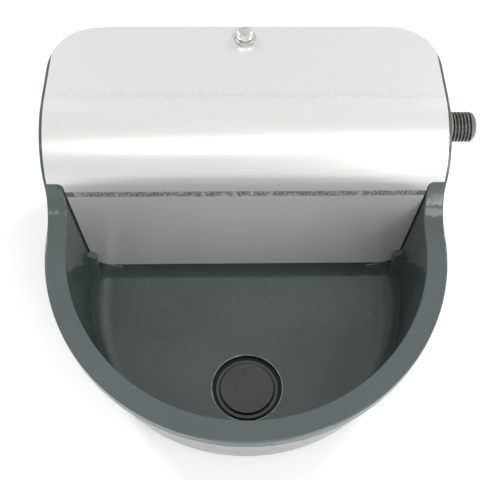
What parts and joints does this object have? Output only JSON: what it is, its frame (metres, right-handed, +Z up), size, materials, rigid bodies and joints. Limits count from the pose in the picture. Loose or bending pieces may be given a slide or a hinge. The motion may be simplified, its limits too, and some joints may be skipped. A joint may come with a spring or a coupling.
{
  "type": "livestock drinking bowl",
  "caption": "D-shaped cast-iron drinking bowl with a side-fed float valve under a bent stainless cover and a lift-out drain plug.",
  "frame": {"origin": "on the wall face, midway between the two wall bolt holes", "axes": "+Y into the wall, +X to the right of someone who faces the bowl, +Z up"},
  "size_m": [0.2944, 0.286, 0.1672],
  "materials": {
    "bowl_paint": "gloss coated",
    "cover_steel": "matt rolled stainless",
    "bolt_steel": "bright",
    "washer_steel": "bright",
    "spring_washer_steel": "bright",
    "drain_plug_plastic": "satin",
    "seal_rubber": "matt",
    "valve_plastic": "satin",
    "nozzle_brass": "turned",
    "locknut_plastic": "satin",
    "gasket_rubber": "matt",
    "gasket_fibre": "fibre",
    "strainer_plastic": "satin",
    "piston_brass": "turned",
    "piston_rubber": "matt",
    "lever_plastic": "satin",
    "pin_steel": "bright",
    "clip_steel": "bright",
    "float_plastic": "satin",
    "float_screw_steel": "bright",
    "float_washer_steel": "bright",
    "float_nut_steel": "bright"
  },
  "bodies": {
    "bowl": {"bowl_casting": "bowl_paint", "valve_body": "valve_plastic", "valve_nozzle": "nozzle_brass", "valve_locknut": "locknut_plastic", "inner_gasket": "gasket_rubber", "outer_gasket": "gasket_fibre", "inlet_strainer": "strainer_plastic", "pivot_pin": "pin_steel", "pivot_clips": "clip_steel"},
    "float_arm": {"float_lever": "lever_plastic", "float": "float_plastic", "float_screw": "float_screw_steel", "float_washer": "float_washer_steel", "float_nut": "float_nut_steel"},
    "piston": {"valve_piston": "piston_brass", "piston_seal": "piston_rubber"},
    "plug": {"drain_plug": "drain_plug_plastic", "drain_plug_seal": "seal_rubber"},
    "lid": {"cover": "cover_steel", "cover_bolt": "bolt_steel", "cover_washer": "washer_steel", "cover_spring_washer": "spring_washer_steel"}
  },
  "joints": [
    {"name": "float_swing", "type": "hinge", "parent": "bowl", "child": "float_arm", "pos_m": [0.0677, -0.078, -0.006], "axis": [0, 1, 0], "range_deg": [0, 18]},
    {"name": "piston_slide", "type": "slide", "parent": "bowl", "child": "piston", "axis": [1, 0, 0], "range_m": [0, 0.00371]},
    {"name": "drain_plug_lift", "type": "slide", "parent": "bowl", "child": "plug", "axis": [0, 0, 1], "range_m": [0, 0.11]},
    {"name": "cover_lift", "type": "slide", "parent": "bowl", "child": "lid", "axis": [0, 0, 1], "range_m": [0, 0.17]}
  ],
  "couplings": [
    {"joint": "piston_slide", "follows": "float_swing", "m_per_rad": 0.0118}
  ]
}
